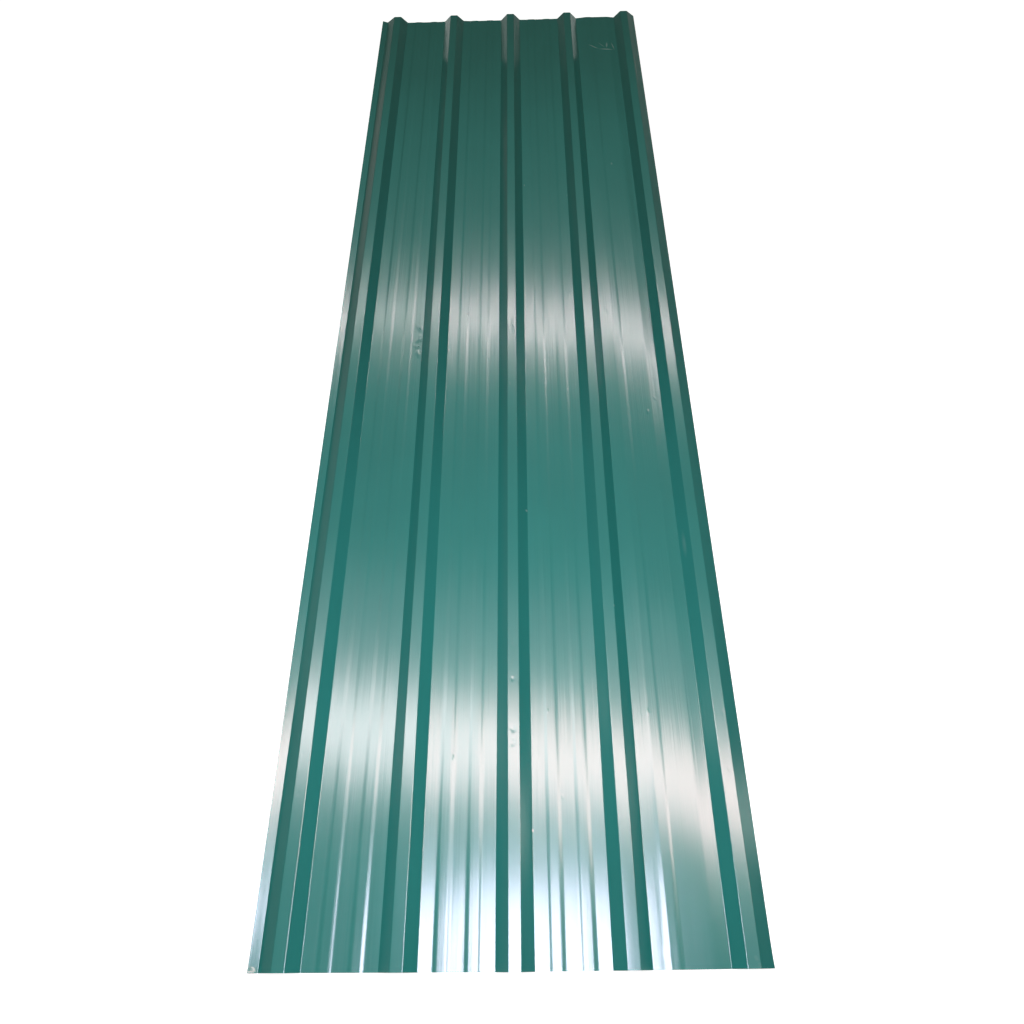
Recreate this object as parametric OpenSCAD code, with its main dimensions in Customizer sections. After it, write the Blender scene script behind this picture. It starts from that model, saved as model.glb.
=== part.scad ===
// Box profile roofing sheet: one strip of pre-painted steel, roll-formed into ribs, pans and swages.
// X runs across the sheet, from the underlap edge at the left to the overlap edge at the right,
// Y runs along the ribs and Z points up. The origin is under the middle, level with the pans.
// The strip is drawn as a bent line at mid-thickness; each face of the metal is that line moved
// sideways by half the gauge, so the steel keeps its thickness through every bend.

/* [Sheet] */
// Length along the ribs
sheet_length = 3660; // [600:10:7300]
// Thickness of the coated steel
gauge = 0.5; // [0.4:0.05:1.2]

/* [Ribs] */
// Number of ribs across the sheet
rib_count = 5; // [2:1:7]
// Distance from the middle of one rib to the middle of the next
rib_pitch = 250; // [240:1:400]
// Width of a rib across its feet
rib_base = 83; // [70:1:95]
// Width of a rib's flat top
rib_crown = 28; // [20:1:40]
// Height of a rib above the pans
rib_height = 28; // [18:1:38]
// Inside radius of the bends along the ribs
rib_bend_radius = 2.5; // [1:0.5:4]

/* [Swages] */
// Number of swages, the low stiffening folds, in each pan
swage_count = 2; // [0:1:2]
// Distance between the middles of the two swages of a pan
swage_pitch = 68; // [60:1:76]
// Width of a swage across its feet
swage_base = 35; // [30:1:44]
// Width of a swage's flat top
swage_crown = 20; // [10:1:24]
// Height of a swage above the pan
swage_height = 1.3; // [0.8:0.1:3]
// Inside radius of the bends along the swages, which are soft folds
swage_bend_radius = 34; // [5:1:40]

/* [Side edges] */
// Sideways run of the outer web of the first and last rib, which spring open a little
edge_web_run = 34; // [28:1:45]
// Height above the pans at which those outer webs end
edge_stand = 4; // [0:1:10]
// Width of the flat flange beyond the first rib
underlap_flange = 22; // [12:1:40]
// Angle by which that flange rises towards its free edge, in degrees
flange_rise = 8; // [0:1:15]

/* [Hidden] */

// An arc is cut into steps of at most this many degrees, and into no fewer steps than the least.
arc_step = 6;
least_steps = 4;
paint = "#28685F";
half_gauge = gauge / 2;
pan_level = half_gauge;
crown_level = pan_level + rib_height;
swage_level = pan_level + swage_height;

function rib_centre(i) = (i - (rib_count - 1) / 2) * rib_pitch;
function is_first(i) = i == 0;
function is_last(i) = i == rib_count - 1;

// The outer webs, on the two sides of the sheet, run further sideways and end above the pans.
inner_run = (rib_base - rib_crown) / 2;
edge_level = pan_level + edge_stand;
function left_run(i) = is_first(i) ? edge_web_run : inner_run;
function left_foot(i) = is_first(i) ? edge_level : pan_level;
function right_run(i) = is_last(i) ? edge_web_run : inner_run;
function right_foot(i) = is_last(i) ? edge_level : pan_level;

// Ribs and swages are lists of corners of the bent line. A corner is [x, z, inside bend radius].
function rib(i) =
    let (left = rib_centre(i) - rib_crown / 2, right = rib_centre(i) + rib_crown / 2)
    [
        [left - left_run(i), left_foot(i), rib_bend_radius],
        [left, crown_level, rib_bend_radius],
        [right, crown_level, rib_bend_radius],
        [right + right_run(i), right_foot(i), rib_bend_radius]
    ];

// The two bends of a swage's slope share its length, so neither may take more than half of it.
swage_run = (swage_base - swage_crown) / 2;
swage_slope = norm([swage_run, swage_height]);
swage_tilt = atan2(swage_height, swage_run);
widest_bend = swage_slope / 2 / tan(swage_tilt / 2) - half_gauge;
swage_radius = min(swage_bend_radius, widest_bend);

function swage(centre) = [
    [centre - swage_base / 2, pan_level, swage_radius],
    [centre - swage_crown / 2, swage_level, swage_radius],
    [centre + swage_crown / 2, swage_level, swage_radius],
    [centre + swage_base / 2, pan_level, swage_radius]
];

// The swages of the pan to the right of rib i; the last rib has no pan.
function pan_swages(i) = is_last(i) ? [] : [
    for (k = [0:1:swage_count - 1])
        for (corner = swage(rib_centre(i) + rib_pitch / 2 + (k - (swage_count - 1) / 2) * swage_pitch))
            corner
];

flange_tip = rib(0)[0] + underlap_flange * [-cos(flange_rise), sin(flange_rise), 0];

corners = concat(
    [flange_tip],
    [for (i = [0:rib_count - 1]) for (corner = concat(rib(i), pan_swages(i))) corner]
);
last = len(corners) - 1;

// Place of corner k in the section, its bend radius at mid-thickness, and the direction of the
// strip from there to the next corner.
function spot(k) = [corners[k][0], corners[k][1]];
function mid_radius(k) = corners[k][2] + half_gauge;
function heading(k) = let (run = spot(k + 1) - spot(k)) atan2(run.y, run.x);

// A face lies to one side of the mid-line: side is +half_gauge for the upper and -half_gauge for
// the lower one. This is a face's point at a free edge, square across the strip.
function free_edge(k, angle, side) = spot(k) + side * [-sin(angle), cos(angle)];

// The arc round corner k on one face. It is tangent to both flats that it joins, and its
// centre is the same for both faces, so the metal is as thick in the bend as beside it.
function bend(k, side) =
    let (
        entry = heading(k - 1),
        turn = heading(k) - entry,
        way = sign(turn),
        radius = mid_radius(k),
        set_back = radius * tan(abs(turn) / 2),
        start = spot(k) - set_back * [cos(entry), sin(entry)],
        centre = start + way * radius * [-sin(entry), cos(entry)],
        steps = max(least_steps, ceil(abs(turn) / arc_step))
    )
    [
        for (s = [0:steps])
            let (angle = entry + turn * s / steps)
            centre + (way * radius - side) * [sin(angle), -cos(angle)]
    ];

function face(side) = concat(
    [free_edge(0, heading(0), side)],
    [for (k = [1:last - 1]) for (point = bend(k, side)) point],
    [free_edge(last, heading(last - 1), side)]
);

function reversed(points) = [for (i = [len(points) - 1:-1:0]) points[i]];

section = concat(face(-half_gauge), reversed(face(half_gauge)));
section_x = [for (point = section) point.x];
middle = (min(section_x) + max(section_x)) / 2;

module roofing_sheet() {
    color(paint)
        translate([-middle, sheet_length / 2, 0])
            rotate([90, 0, 0])
                linear_extrude(height = sheet_length)
                    polygon(section);
}

roofing_sheet();
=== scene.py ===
import math

import bmesh
import bpy
from mathutils import Matrix, Vector, noise


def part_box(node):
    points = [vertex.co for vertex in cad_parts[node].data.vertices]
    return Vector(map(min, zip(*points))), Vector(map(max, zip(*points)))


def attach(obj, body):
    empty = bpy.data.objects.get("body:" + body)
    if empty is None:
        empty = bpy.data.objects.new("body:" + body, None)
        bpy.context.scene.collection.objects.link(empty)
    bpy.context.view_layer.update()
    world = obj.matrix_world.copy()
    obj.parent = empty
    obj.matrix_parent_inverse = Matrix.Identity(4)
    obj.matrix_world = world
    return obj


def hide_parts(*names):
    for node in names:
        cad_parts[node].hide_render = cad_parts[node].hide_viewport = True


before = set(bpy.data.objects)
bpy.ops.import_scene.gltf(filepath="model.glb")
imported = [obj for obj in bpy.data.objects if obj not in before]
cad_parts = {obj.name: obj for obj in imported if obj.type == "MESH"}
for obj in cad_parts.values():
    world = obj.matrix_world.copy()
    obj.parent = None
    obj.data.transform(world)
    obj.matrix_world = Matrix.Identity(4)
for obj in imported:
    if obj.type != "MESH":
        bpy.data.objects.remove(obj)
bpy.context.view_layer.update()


# The sheet is one strip of galvanised steel, painted in the coil, roll-formed into five ribs and
# four pans and sheared to length. The rolled section comes from the frame. Cuts across and along
# it let the thin steel take the bows, waves and dents that rolling, the shear and handling leave.
low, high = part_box("roofing_sheet")
gauge = 0.0005
rib_pitch = 0.25
rib_height = high.z - gauge
crown_half = 0.014
foot_half = 0.0415
edge_web_run = 0.034
flange_width = 0.0218
ribs = [low.x + flange_width + edge_web_run + crown_half + i * rib_pitch for i in range(5)]

sheet = bmesh.new()
sheet.from_mesh(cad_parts["roofing_sheet"].data)
bmesh.ops.remove_doubles(sheet, verts=sheet.verts, dist=0.00001)
bmesh.ops.dissolve_limit(sheet, angle_limit=math.radians(0.1), verts=sheet.verts, edges=sheet.edges)

# The weather side has the green top coat, the other side a thin backing coat, and the four sheared
# edges show bare steel.
TOP_COAT, BACKING_COAT, CUT_EDGE = 0, 1, 2
for face in sheet.faces:
    middle = face.calc_center_median()
    at_side = min(middle.x - low.x, high.x - middle.x) < gauge
    if at_side or abs(face.normal.y) > 0.9:
        face.material_index = CUT_EDGE
    else:
        face.material_index = TOP_COAT if face.normal.z > 0 else BACKING_COAT

ACROSS, ALONG = Vector((1, 0, 0)), Vector((0, 1, 0))


def cut(faces, place, direction):
    """A plane at that distance in that direction splits these faces. What they became comes back."""
    corners = dict.fromkeys(v for face in faces for v in face.verts)
    sides = dict.fromkeys(e for face in faces for e in face.edges)
    parts = bmesh.ops.bisect_plane(
        sheet,
        geom=[*corners, *sides, *faces],
        dist=0.000001,
        plane_co=direction * place,
        plane_no=direction,
    )
    return [part for part in parts["geom"] if isinstance(part, bmesh.types.BMFace)]


crown_and_web_cuts = (-0.0277, -0.007, 0, 0.007, 0.0277)
pan_cuts = (0.05, 0.057, 0.064, 0.091, 0.118, 0.125, 0.132, 0.159, 0.186, 0.193, 0.2)
for rib in ribs:
    for step in crown_and_web_cuts:
        cut(sheet.faces[:], rib + step, ACROSS)
for rib in ribs[:-1]:
    for step in pan_cuts:
        cut(sheet.faces[:], rib + step, ACROSS)
cut(sheet.faces[:], low.x + flange_width / 2, ACROSS)


def patch(x, y, reach_x, reach_y, cell_x, cell_y):
    """Cuts a patch of the sheet into small cells, so that it can take a dent or a scratch."""
    faces = []
    for face in sheet.faces:
        xs = [v.co.x for v in face.verts]
        ys = [v.co.y for v in face.verts]
        beside = min(xs) > x + reach_x or max(xs) < x - reach_x
        if not beside and min(ys) < y + reach_y and max(ys) > y - reach_y:
            faces.append(face)
    for direction, centre, reach, cell in ((ALONG, y, reach_y, cell_y), (ACROSS, x, reach_x, cell_x)):
        faces = cut(faces, centre - reach, direction)
        faces = cut(faces, centre + reach, direction)
        faces = [face for face in faces if abs(face.calc_center_median().dot(direction) - centre) < reach]
        count = math.ceil(reach / cell)
        for i in range(1 - count, count):
            faces = cut(faces, centre + i * reach / count, direction)


# Dents, dings, scratches and one painted highlight: place, half width across, half length along, turn in
# degrees, how far the steel is pushed, and how much paint is rubbed off pale. The long thin mark by the
# fifth rib's crown is no scratch: it is a painted highlight along the bend there, in the same pale colour.
# A pan that lies on the floor is dented upwards, a crown downwards and a web inwards.
dents = [
    (ribs[1] - 0.056, 0.002, 0.010, 0.030, 30, 0.0008, 0.0),
    (ribs[1] - 0.052, -0.048, 0.010, 0.022, -40, 0.0009, 0.0),
    (ribs[1] - 0.060, -0.078, 0.009, 0.022, 50, 0.0006, 0.0),
    (ribs[1] - 0.053, -0.108, 0.010, 0.026, 15, 0.0009, 0.0),
    (ribs[1] - 0.051, -0.002, 0.0025, 0.008, 35, 0.0011, 0.0),
    (ribs[1] - 0.045, -0.056, 0.0025, 0.007, -45, 0.0011, 0.0),
    (ribs[1] - 0.052, -0.078, 0.0025, 0.007, 50, 0.0010, 0.0),
    (ribs[1] - 0.046, -0.099, 0.0025, 0.009, 10, 0.0011, 0.0),
    (ribs[1] + 0.104, 0.061, 0.003, 0.006, 0, 0.0010, 0.1),
    (ribs[2] + 0.003, -0.022, 0.0025, 0.016, 25, 0.0008, 0.0),
    (ribs[1] + 0.046, -0.098, 0.003, 0.008, 0, 0.0005, 0.1),
    (ribs[2] - 0.039, -0.050, 0.004, 0.012, 0, 0.0006, 0.0),
    (ribs[2] - 0.002, -0.008, 0.008, 0.022, 0, 0.0006, 0.0),
    (ribs[2] + 0.002, -0.045, 0.008, 0.016, 10, 0.0005, 0.0),
    (ribs[2] - 0.006, -0.256, 0.003, 0.010, 0, 0.0003, 0.05),
    (ribs[2] - 0.003, -1.111, 0.006, 0.012, 0, 0.0004, 0.0),
    (ribs[2] - 0.003, -1.199, 0.005, 0.009, 0, 0.0006, 0.0),
    (ribs[2] - 0.002, -1.323, 0.009, 0.014, 15, 0.0005, 0.0),
    (ribs[2] - 0.003, -1.356, 0.009, 0.014, -10, 0.0005, 0.0),
    (ribs[4] + 0.008, -1.290, 0.005, 0.010, 0, 0.0002, 0.0),
    (ribs[4] + 0.002, -1.421, 0.005, 0.010, 0, 0.0002, 0.0),
    (ribs[0] - 0.006, -1.377, 0.004, 0.008, 0, 0.0001, 0.0),
    (ribs[0] - 0.002, -1.469, 0.004, 0.008, 0, 0.0001, 0.0),
    (ribs[3] + 0.190, -0.308, 0.006, 0.012, 20, 0.0005, 0.0),
    (ribs[3] + 0.163, -0.359, 0.006, 0.012, 0, 0.0005, 0.0),
    (ribs[3] + 0.061, 0.057, 0.010, 0.030, 10, 0.0005, 0.0),
    (ribs[3] + 0.080, -1.279, 0.005, 0.012, 0, 0.0005, 0.0),
    (ribs[2] + 0.084, -1.274, 0.004, 0.008, 0, 0.0004, 0.0),
    (ribs[2] + 0.113, -1.475, 0.004, 0.008, 0, 0.0004, 0.05),
    (ribs[1] + 0.103, -1.384, 0.004, 0.007, 0, 0.0005, 0.03),
    (ribs[2] + 0.042, -1.550, 0.003, 0.005, 0, 0.0004, 0.5),
    (ribs[2] + 0.039, -0.702, 0.004, 0.005, 0, 0.0004, 0.5),
    (ribs[3] + 0.014, -1.005, 0.002, 0.006, 0, 0.0003, 0.25),
    (ribs[3] + 0.132, 0.816, 0.005, 0.010, 0, 0.0003, 0.25),
    (ribs[2] + 0.049, 0.706, 0.003, 0.008, 0, 0.0002, 0.25),
    (ribs[2] + 0.206, 0.643, 0.003, 0.010, 0, 0.0002, 0.08),
    (ribs[4] + 0.006, low.y + 0.020, 0.006, 0.008, 30, 0.0002, 0.05),
    (ribs[4] + 0.012, low.y + 0.008, 0.006, 0.006, -20, 0.0002, 0.05),
    (ribs[3] + 0.074, low.y + 0.030, 0.010, 0.022, 10, 0.0002, 0.0),
    (ribs[4] - 0.030, -0.820, 0.006, 0.050, 0, 0.0004, 0.1),
    # A painted highlight, not a scratch: a long faint pale line along the bend at the right of the fifth
    # rib's crown.
    (ribs[4] + 0.021, 1.415, 0.0015, 0.115, 0, 0.0001, 0.4),
    (ribs[3] + 0.107, high.y - 0.231, 0.004, 0.032, 53, 0.0002, 0.7),
    (ribs[3] + 0.160, high.y - 0.252, 0.004, 0.038, 84, 0.0002, 0.9),
    (ribs[3] + 0.190, high.y - 0.227, 0.004, 0.034, 11, 0.0002, 0.5),
    (ribs[3] + 0.164, high.y - 0.221, 0.005, 0.026, -5, 0.0002, 0.6),
    (ribs[3] + 0.142, high.y - 0.220, 0.003, 0.030, 35, 0.0001, 0.35),
]
finest_cell = 0.0016
for x, y, half_x, half_y, turn, depth, rubbed_and_highlit in dents:
    slant, upright = abs(math.sin(math.radians(turn))), math.cos(math.radians(turn))
    reach_x = math.hypot(half_x * upright, half_y * slant)
    reach_y = math.hypot(half_y * upright, half_x * slant)
    cell = max(finest_cell, half_x / 2.5)
    patch(x, y, reach_x, reach_y, cell, cell if turn else half_y / 3)
corner_x, corner_y, corner_cell = 0.022, 0.014, 0.0025
half_corner_x, half_corner_y = corner_x / 2, corner_y / 2
patch(low.x + half_corner_x, low.y + half_corner_y, half_corner_x, half_corner_y, corner_cell, corner_cell)

# The bands along the sheet are short at the near end, which is bent about most, and grow from there.
band_places, band, longest_band = [low.y + 0.005], 0.005, 0.055
while band_places[-1] + 2 * band < high.y:
    band = min(band * 1.18, longest_band)
    band_places.append(band_places[-1] + band)


def cut_into_bands(faces, places):
    """Cuts faces at all of the places, the middle one first, so that no face is cut needlessly."""
    if not places:
        return
    half = len(places) // 2
    faces = cut(faces, places[half], ALONG)
    nearer = [face for face in faces if face.calc_center_median().y < places[half]]
    farther = [face for face in faces if face.calc_center_median().y > places[half]]
    cut_into_bands(nearer, places[:half])
    cut_into_bands(farther, places[half + 1 :])


cut_into_bands(sheet.faces[:], band_places)


def share_of_way(value, start, length):
    """How much of the way from start, over that length, has been gone, between 0 and 1."""
    return max(0.0, min(1.0, (value - start) / length))


def at_height(z):
    """0 on a pan, 1 on a crown, and in between on a web."""
    return share_of_way(z, gauge, rib_height)


# Each pan springs back a little after rolling: how far it stands up at the foot of its left rib,
# the middle of each swage, the middle of the pan and the foot of its right rib.
pan_places = (foot_half, 0.074, 0.125, 0.176, rib_pitch - foot_half)
pan_springs = (
    (0.0003, 0.0000, 0.0000, 0.0000, 0.0010),
    (0.0021, 0.0000, 0.0001, 0.0000, 0.0000),
    (0.0005, 0.0000, 0.0000, 0.0000, 0.0009),
    (0.0000, 0.0031, 0.0034, 0.0034, 0.0001),
)


def spring(x):
    """How far springback lifts the sheet at x."""
    pan = math.floor((x - ribs[0]) / rib_pitch)
    if not 0 <= pan < len(pan_springs):
        return 0.0
    along_pan = x - ribs[pan]
    places, rises = (0, *pan_places, rib_pitch), pan_springs[pan]
    rises = (rises[0], *rises, rises[-1])
    for a, b, rise_a, rise_b in zip(places, places[1:], rises, rises[1:]):
        if a <= along_pan <= b:
            return rise_a + (rise_b - rise_a) * (along_pan - a) / (b - a)
    return 0.0


def waves(x, y):
    """Slow waves of the thin steel, as a height that is never below 0."""
    slow = noise.noise(Vector((x * 5, y * 1.5, 3)))
    quick = noise.noise(Vector((x * 16, y * 5, 9)))
    return 0.0004 * (1 + slow) + 0.0005 * (1 + quick)


def dome(r):
    """1 in the middle of a dent and 0 at its rim."""
    return (1 - r * r) ** 2 if r < 1 else 0.0


def fades(from_end, over):
    """1 at the near end, and less and less along the sheet."""
    return math.exp(-from_end / over)


def fades_late(from_end, over):
    """As above, but it keeps near 1 for longer before it falls."""
    return math.exp(-((from_end / over) ** 2))


# What the steel does in one place only, mostly towards the near end. A value named over is the
# length of sheet that it fades out on, and angles are in degrees.
last_pan_held, held_for, freed_over = 0.6, 0.15, 0.25
flat_swage_from, flat_swage_to, flattened = ribs[3] + 0.138, ribs[3] + 0.180, 0.8
low_swages_from, low_swages_to = ribs[0] + 0.070, ribs[0] + 0.180
swages_lowered, lowered_over = 0.25, 0.45
top_slope, top_slope_over = 0.045, 0.65
outer_web = ribs[-1] + crown_half
web_drawn_in, flare_over = 0.0015, 0.018
flange_foot, flange_foot_height = low.x + flange_width, 0.004
flange_sprung, sprung_less, less_over = 9.5, 0.8, 1.8
end_sprung_more, more_over = 5, 0.14
out_of_square, square_over = 0.005, 0.3
corner_lift = 0.0025

# Each corner keeps how pale its paint is rubbed at the dings, and how strong the painted highlight is
# along the fifth rib's crown.
wear_and_highlight = sheet.verts.layers.float.new("wear_and_highlight")
for v in sheet.verts:
    x, y, z = v.co
    from_end = y - low.y
    on_rib = at_height(z)
    sprung = spring(x)
    # The last pan stands up less at the near end.
    if x > ribs[3]:
        sprung *= last_pan_held + (1 - last_pan_held) * share_of_way(from_end, held_for, freed_over)
    push = Vector((0, 0, (1 - on_rib) * (sprung + waves(x, y)) - on_rib * waves(x, y)))
    # The right swage of the last pan came out of the rolls nearly flat, and those of the first pan
    # run out a little towards the near end.
    above_pan = z - gauge if v.normal.z > 0 else z
    if flat_swage_from < x < flat_swage_to:
        push.z -= flattened * above_pan
    if low_swages_from < x < low_swages_to:
        push.z -= swages_lowered * fades_late(from_end, lowered_over) * above_pan
    # The top of the second rib slopes down to its left towards the near end.
    if abs(x - ribs[1]) < foot_half:
        from_right = max(0.0, min(2 * crown_half, ribs[1] + crown_half - x))
        push.z -= on_rib * top_slope * fades_late(from_end, top_slope_over) * from_right
    for dent_x, dent_y, half_x, half_y, turn, depth, rubbed_and_highlit in dents:
        if abs(x - dent_x) > half_x + half_y or abs(y - dent_y) > half_x + half_y:
            continue
        angle = math.radians(turn)
        across = (x - dent_x) * math.cos(angle) + (y - dent_y) * math.sin(angle)
        along = (y - dent_y) * math.cos(angle) - (x - dent_x) * math.sin(angle)
        share = dome(math.hypot(across / half_x, along / half_y))
        push.z += depth * share * (1 if on_rib < 0.5 else -1)
        # Rubbed paint at the dings, and for the mark by the fifth rib's crown a painted highlight.
        v[wear_and_highlight] = max(v[wear_and_highlight], rubbed_and_highlit * share)
    # The overlap edge sits a little in from its widest, apart from the near corner, which is flared.
    if x > outer_web:
        from_crown = (x - outer_web) / edge_web_run
        push.x -= web_drawn_in * from_crown * (1 - fades(from_end, flare_over))
    # The underlap flange has sprung up beyond its rolled angle, most at the near end.
    if x < flange_foot:
        turned_up = flange_sprung - sprung_less * min(1.0, from_end / less_over)
        turned_up += end_sprung_more * fades(from_end, more_over)
        arm = Vector((x - flange_foot, 0, z - flange_foot_height))
        push += Matrix.Rotation(math.radians(turned_up), 3, "Y") @ arm - arm
    # The shear left the near end slightly out of square.
    push.y += out_of_square * max(0.0, x / high.x) * fades(from_end, square_over)
    # The near corner of the underlap flange is bent up.
    push.z += corner_lift * dome(math.hypot((x - low.x) / corner_x, from_end / corner_y))
    v.co += push

for edge in sheet.edges:
    edge.smooth = len(edge.link_faces) == 2 and edge.calc_face_angle() < math.radians(30)
for face in sheet.faces:
    face.smooth = True

sheet_mesh = bpy.data.meshes.new("painted_sheet")
sheet.to_mesh(sheet_mesh)
sheet.free()
painted_sheet = bpy.data.objects.new("painted_sheet", sheet_mesh)
bpy.context.scene.collection.objects.link(painted_sheet)
flat_shading = painted_sheet.modifiers.new("even_light_on_flats", "WEIGHTED_NORMAL")
flat_shading.keep_sharp = True
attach(painted_sheet, "root")
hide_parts("roofing_sheet")


# The rolls leave faint lines along the whole strip, in the top coat and the backing coat alike.
# They are shallow ridges a few millimetres apart, which show where a lamp is mirrored.
def add(tree, kind, **settings):
    """A new node in a tree. Its settings are input values by name, or the node's own properties."""
    node = tree.nodes.new(kind)
    for name, value in settings.items():
        label = name.replace("_", " ").title()
        if label in node.inputs:
            node.inputs[label].default_value = value
        else:
            setattr(node, name, value)
    return node


roll_marks = bpy.data.node_groups.new("roll_marks", "ShaderNodeTree")
for name, value in (("Broad", 60.0), ("Fine", 210.0)):
    socket = roll_marks.interface.new_socket(name, in_out="INPUT", socket_type="NodeSocketFloat")
    socket.default_value = value
roll_marks.interface.new_socket("Height", in_out="OUTPUT", socket_type="NodeSocketFloat")
marks_in = add(roll_marks, "NodeGroupInput")
marks_out = add(roll_marks, "NodeGroupOutput")
marks_place = add(roll_marks, "ShaderNodeTexCoord")
drawn_out = add(roll_marks, "ShaderNodeMapping", scale=(1.0, 0.012, 0.0))
broad_marks = add(roll_marks, "ShaderNodeTexNoise", detail=1.0)
fine_marks = add(roll_marks, "ShaderNodeTexNoise", detail=2.0)
both_marks = add(roll_marks, "ShaderNodeMix", data_type="FLOAT")
both_marks.inputs["Factor"].default_value = 0.45
link = roll_marks.links.new
link(marks_place.outputs["Object"], drawn_out.inputs["Vector"])
link(drawn_out.outputs["Vector"], broad_marks.inputs["Vector"])
link(drawn_out.outputs["Vector"], fine_marks.inputs["Vector"])
link(marks_in.outputs["Broad"], broad_marks.inputs["Scale"])
link(marks_in.outputs["Fine"], fine_marks.inputs["Scale"])
link(broad_marks.outputs["Fac"], both_marks.inputs["A"])
link(fine_marks.outputs["Fac"], both_marks.inputs["B"])
link(both_marks.outputs["Result"], marks_out.inputs["Height"])


def new_finish(name):
    """A material with nothing in it but its shader, and the calls that add to it."""
    finish = bpy.data.materials.new(name)
    finish.use_nodes = True
    return finish, finish.node_tree, finish.node_tree.nodes["Principled BSDF"]


# The top coat is dark teal green polyester, stoved on at the coil works: smooth and glossy. Handling
# leaves it rubbed pale at the dings, and the same pale colour paints a highlight along the bend of the
# fifth rib's crown. The rolls mark it along the sheet, the pans more than the ribs and the near end less
# than the rest.
green = (0.015, 0.165, 0.147, 1.0)
top_coat, tree, paint = new_finish("top_coat")
place_on_sheet = add(tree, "ShaderNodeTexCoord")
cloudy = add(tree, "ShaderNodeTexNoise", scale=5.0, detail=3.0)
shades = add(tree, "ShaderNodeMapRange", to_min=0.94, to_max=1.06)
shaded_green = add(tree, "ShaderNodeVectorMath", operation="SCALE")
shaded_green.inputs[0].default_value = green[:3]
# The pale colour goes where paint is rubbed off, and where the highlight along the fifth rib's crown is
# painted.
wear_and_highlight_share = add(tree, "ShaderNodeAttribute", attribute_name="wear_and_highlight")
worn_and_highlit_colour = add(tree, "ShaderNodeMix", data_type="RGBA")
worn_and_highlit_colour.inputs["B"].default_value = (0.34, 0.44, 0.43, 1.0)
smudges = add(tree, "ShaderNodeTexNoise", scale=30.0, detail=4.0)
gloss = add(tree, "ShaderNodeMapRange", to_min=0.19, to_max=0.215)
marks = add(tree, "ShaderNodeGroup", node_tree=roll_marks)
height_on_sheet = add(tree, "ShaderNodeSeparateXYZ")
share_of_marks = add(tree, "ShaderNodeMapRange", from_min=0.002, from_max=0.02, to_min=1.0, to_max=0.3)
share_near_end = add(tree, "ShaderNodeMapRange", from_min=-1.68, from_max=-1.30, to_min=0.35, to_max=1.0)
share_here = add(tree, "ShaderNodeMath", operation="MULTIPLY")
marks_in_pans = add(tree, "ShaderNodeMath", operation="MULTIPLY")
ridges = add(tree, "ShaderNodeBump", strength=1.0, distance=0.0009)
link = tree.links.new
link(place_on_sheet.outputs["Object"], cloudy.inputs["Vector"])
link(cloudy.outputs["Fac"], shades.inputs["Value"])
link(shades.outputs["Result"], shaded_green.inputs["Scale"])
link(shaded_green.outputs["Vector"], worn_and_highlit_colour.inputs["A"])
link(wear_and_highlight_share.outputs["Fac"], worn_and_highlit_colour.inputs["Factor"])
link(worn_and_highlit_colour.outputs["Result"], paint.inputs["Base Color"])
link(place_on_sheet.outputs["Object"], smudges.inputs["Vector"])
link(smudges.outputs["Fac"], gloss.inputs["Value"])
link(gloss.outputs["Result"], paint.inputs["Roughness"])
link(place_on_sheet.outputs["Object"], height_on_sheet.inputs["Vector"])
link(height_on_sheet.outputs["Z"], share_of_marks.inputs["Value"])
link(height_on_sheet.outputs["Y"], share_near_end.inputs["Value"])
link(share_of_marks.outputs["Result"], share_here.inputs[0])
link(share_near_end.outputs["Result"], share_here.inputs[1])
link(marks.outputs["Height"], marks_in_pans.inputs[0])
link(share_here.outputs["Value"], marks_in_pans.inputs[1])
link(marks_in_pans.outputs["Value"], ridges.inputs["Height"])
link(ridges.outputs["Normal"], paint.inputs["Normal"])
painted_sheet.data.materials.append(top_coat)

# The backing coat is a thin light grey primer over the zinc, duller than the top coat.
backing_coat, tree, backing = new_finish("backing_coat")
place_on_sheet = add(tree, "ShaderNodeTexCoord")
blotches = add(tree, "ShaderNodeTexNoise", scale=9.0, detail=4.0)
greys = add(tree, "ShaderNodeMix", data_type="RGBA")
greys.inputs["A"].default_value = (0.46, 0.47, 0.46, 1.0)
greys.inputs["B"].default_value = (0.55, 0.56, 0.55, 1.0)
dullness = add(tree, "ShaderNodeMapRange", to_min=0.42, to_max=0.55)
marks = add(tree, "ShaderNodeGroup", node_tree=roll_marks)
ridges = add(tree, "ShaderNodeBump", strength=1.0, distance=0.0002)
link = tree.links.new
link(place_on_sheet.outputs["Object"], blotches.inputs["Vector"])
link(blotches.outputs["Fac"], greys.inputs["Factor"])
link(greys.outputs["Result"], backing.inputs["Base Color"])
link(blotches.outputs["Fac"], dullness.inputs["Value"])
link(dullness.outputs["Result"], backing.inputs["Roughness"])
link(marks.outputs["Height"], ridges.inputs["Height"])
link(ridges.outputs["Normal"], backing.inputs["Normal"])
painted_sheet.data.materials.append(backing_coat)

# The cut edge is bare steel where the shear and the slitter went through, burnished in places and
# dull where the zinc was torn.
cut_edge, tree, bare_steel = new_finish("cut_edge")
bare_steel.inputs["Metallic"].default_value = 1.0
place_on_sheet = add(tree, "ShaderNodeTexCoord")
torn = add(tree, "ShaderNodeTexNoise", scale=260.0, detail=3.0)
steels = add(tree, "ShaderNodeMix", data_type="RGBA")
steels.inputs["A"].default_value = (0.30, 0.30, 0.30, 1.0)
steels.inputs["B"].default_value = (0.62, 0.62, 0.61, 1.0)
burnish = add(tree, "ShaderNodeMapRange", to_min=0.5, to_max=0.28)
shear_marks = add(tree, "ShaderNodeBump", strength=0.5, distance=0.0001)
link = tree.links.new
link(place_on_sheet.outputs["Object"], torn.inputs["Vector"])
link(torn.outputs["Fac"], steels.inputs["Factor"])
link(steels.outputs["Result"], bare_steel.inputs["Base Color"])
link(torn.outputs["Fac"], burnish.inputs["Value"])
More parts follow.
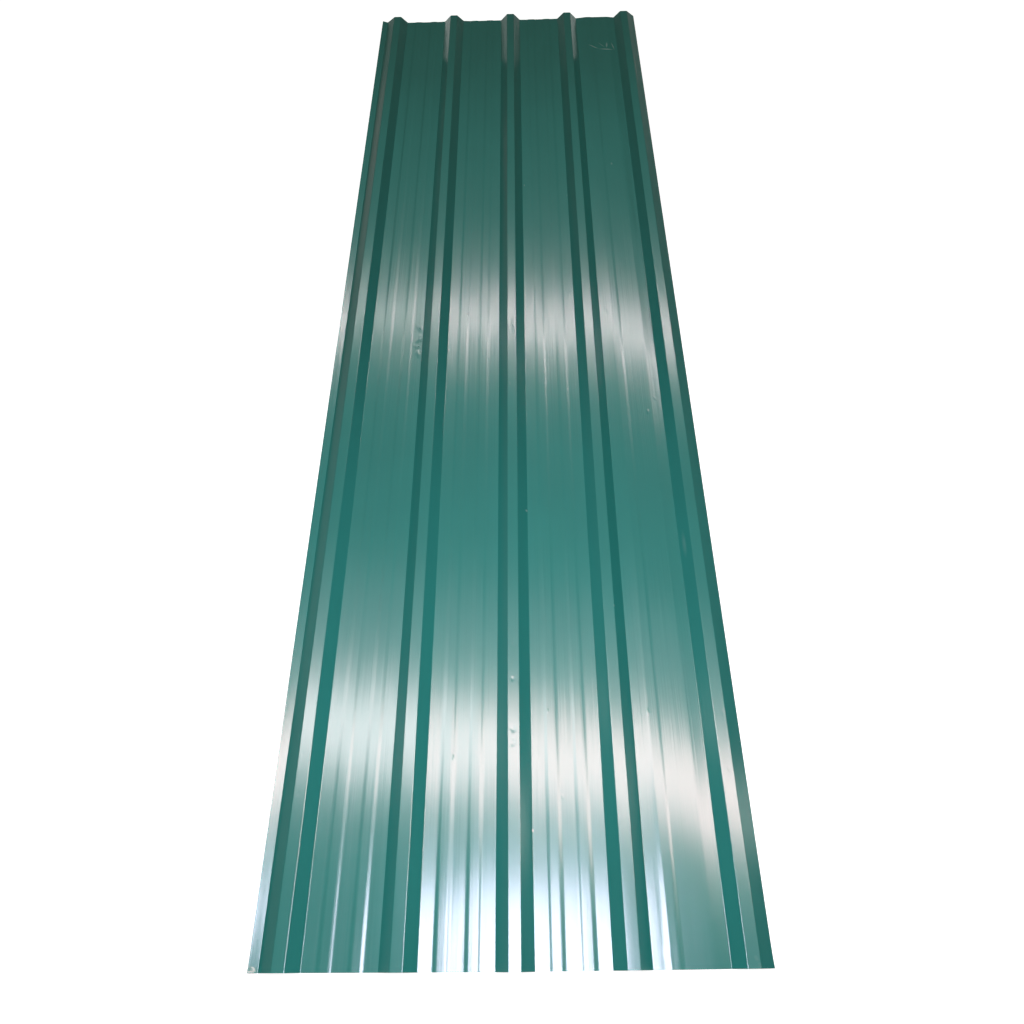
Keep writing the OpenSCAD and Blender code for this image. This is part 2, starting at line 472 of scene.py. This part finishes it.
link(burnish.outputs["Result"], bare_steel.inputs["Roughness"])
link(torn.outputs["Fac"], shear_marks.inputs["Height"])
link(shear_marks.outputs["Normal"], bare_steel.inputs["Normal"])
painted_sheet.data.materials.append(cut_edge)


# The floor is plain and pale. Its own glow and the light on it add up to white, by eye and in the
# paint, and it keeps the shadow of the sheet that lies on it.
floor_mesh = bpy.data.meshes.new("floor")
floor_shape = bmesh.new()
bmesh.ops.create_grid(floor_shape, x_segments=1, y_segments=1, size=30)
bmesh.ops.translate(floor_shape, verts=floor_shape.verts, vec=(0, 0, -0.0003))
floor_shape.to_mesh(floor_mesh)
floor_shape.free()
floor = bpy.data.objects.new("floor", floor_mesh)
bpy.context.scene.collection.objects.link(floor)
white_floor, tree, floor_shader = new_finish("white_floor")
floor_shader.inputs["Base Color"].default_value = (0.5, 0.5, 0.5, 1.0)
floor_shader.inputs["Roughness"].default_value = 0.9
floor_shader.inputs["Specular IOR Level"].default_value = 0.0
floor_shader.inputs["Emission Color"].default_value = (1.0, 1.0, 1.0, 1.0)
seen_by = add(tree, "ShaderNodeLightPath")
eye_or_gloss = add(tree, "ShaderNodeMath", operation="MAXIMUM")
eye_gloss_or_glass = add(tree, "ShaderNodeMath", operation="MAXIMUM")
glow = add(tree, "ShaderNodeMath", operation="MULTIPLY")
glow.inputs[1].default_value = 0.88
link = tree.links.new
link(seen_by.outputs["Is Camera Ray"], eye_or_gloss.inputs[0])
link(seen_by.outputs["Is Glossy Ray"], eye_or_gloss.inputs[1])
link(eye_or_gloss.outputs["Value"], eye_gloss_or_glass.inputs[0])
link(seen_by.outputs["Is Transmission Ray"], eye_gloss_or_glass.inputs[1])
link(eye_gloss_or_glass.outputs["Value"], glow.inputs[0])
link(glow.outputs["Value"], floor_shader.inputs["Emission Strength"])
floor.data.materials.append(white_floor)


# The camera stands at the near end and looks down along the ribs.
eye = Vector((0.049, low.y + 0.020, 1.921))
turned, from_straight_down, leaning = 2.1, 29.97, -2.67
camera = bpy.data.objects.new("camera", bpy.data.cameras.new("camera"))
camera.data.lens = 27.42  # mm, on a 36 mm wide picture
camera.matrix_world = (
    Matrix.Translation(eye)
    @ Matrix.Rotation(math.radians(turned), 4, "Z")
    @ Matrix.Rotation(math.radians(from_straight_down), 4, "X")
    @ Matrix.Rotation(math.radians(leaning), 4, "Z")
)
bpy.context.scene.collection.objects.link(camera)
bpy.context.scene.camera = camera


# The gloss mirrors what is overhead: a roof window over the near end, a wide bright strip over the
# near half with a faint haze beyond it, a thin strip farther on, and a green roof lining. A strip
# bends in the middle, so it is two lamps. A plain wash lights the paint itself and isn't mirrored.
def panel(name, width, length, glow_level, colour):
    """A flat lamp of that size, which shines but isn't seen itself."""
    lamp = bpy.data.lights.new(name, "AREA")
    lamp.shape = "RECTANGLE"
    lamp.size, lamp.size_y = width, length
    lamp.color = colour
    lamp.energy = glow_level * math.pi * lamp.size * lamp.size_y
    holder = bpy.data.objects.new(name, lamp)
    holder.visible_camera = False
    bpy.context.scene.collection.objects.link(holder)
    return holder


def hang(name, shows_at, size_on_sheet, height, glow_level, colour, turn=0.0):
    """A lamp at that height whose mirror image the camera sees at that place on the pans."""
    reach = (eye.z + height) / eye.z
    lamp = panel(name, size_on_sheet[0] * reach, size_on_sheet[1] * reach, glow_level, colour)
    lamp.location.x = eye.x + (shows_at[0] - eye.x) * reach
    lamp.location.y = eye.y + (shows_at[1] - eye.y) * reach
    lamp.location.z = height
    lamp.rotation_euler.z = math.radians(turn)
    return lamp


roof_height = 2.7
window = hang("roof_window", (0.035, -1.954), (0.36, 0.567), roof_height, 41, (0.87, 0.78, 1.0))
near_left = hang("near_left", (-0.590, -1.280), (0.98, 0.20), roof_height, 23.2, (1.0, 0.82, 0.85), -11.0)
near_right = hang("near_right", (0.500, -1.466), (1.24, 0.20), roof_height, 29, (1.0, 0.685, 0.69), -11.0)
far_left = hang("far_left", (-0.560, 0.085), (0.68, 0.016), roof_height, 108, (1.0, 0.95, 0.94), -8.0)
far_right = hang("far_right", (0.365, -0.037), (1.17, 0.016), roof_height, 225, (1.0, 0.86, 0.88), -8.8)
near_haze = hang("near_haze", (-0.05, -1.13), (2.3, 0.36), roof_height, 1.35, (1.0, 0.86, 0.95), -9.5)
roof_lining = hang("roof_lining", (0.0, 0.40), (1.60, 1.60), 3.4, 0.45, (0.1, 1.0, 0.9))
wash = hang("wash", (0.030, -1.559), (0.30, 0.36), 1.6, 25.5, (0.95, 0.92, 1.0))
wash.visible_glossy = False


# The steep webs of the ribs mirror what stands low at the sides: a wall and an open door at the
# left, and another door at the right.
def stand(name, x, y, z, width, lamp_height, glow_level, colour):
    """An upright lamp at one side of the sheet, which shines across it."""
    lamp = panel(name, lamp_height, width, glow_level, colour)
    lamp.location = (x, y, z)
    lamp.rotation_euler.y = math.radians(math.copysign(90, x))
    return lamp


left_wall = stand("left_wall", -4.0, 2.25, 0.25, 9.5, 0.50, 0.5, (1.0, 0.62, 0.6))
right_door = stand("right_door", 4.0, -0.98, 0.25, 0.44, 0.50, 5.0, (1.0, 0.98, 0.93))
left_door = stand("left_door", -4.0, -0.08, 1.25, 0.35, 0.60, 3.6, (1.0, 0.9, 0.87))

# All but the wash show in the gloss only.
overhead_lamps = (window, near_left, near_right, far_left, far_right, near_haze, roof_lining)
side_lamps = (left_wall, left_door, right_door)
for lamp in (*overhead_lamps, *side_lamps):
    lamp.visible_diffuse = False


# The room is lit from above, and brown and dim towards the horizon.
room = bpy.data.worlds.new("room")
room.use_nodes = True
tree = room.node_tree
looking = add(tree, "ShaderNodeTexCoord")
upwards = add(tree, "ShaderNodeSeparateXYZ")
overhead = add(tree, "ShaderNodeMapRange", from_min=0.46, from_max=0.76)
room_colour = add(tree, "ShaderNodeMix", data_type="RGBA")
room_colour.inputs["A"].default_value = (0.11, 0.07, 0.06, 1.0)
room_colour.inputs["B"].default_value = (0.45, 0.54, 0.47, 1.0)
link = tree.links.new
link(looking.outputs["Generated"], upwards.inputs["Vector"])
link(upwards.outputs["Z"], overhead.inputs["Value"])
link(overhead.outputs["Result"], room_colour.inputs["Factor"])
link(room_colour.outputs["Result"], tree.nodes["Background"].inputs["Color"])
bpy.context.scene.world = room
bpy.context.scene.view_settings.view_transform = "Standard"
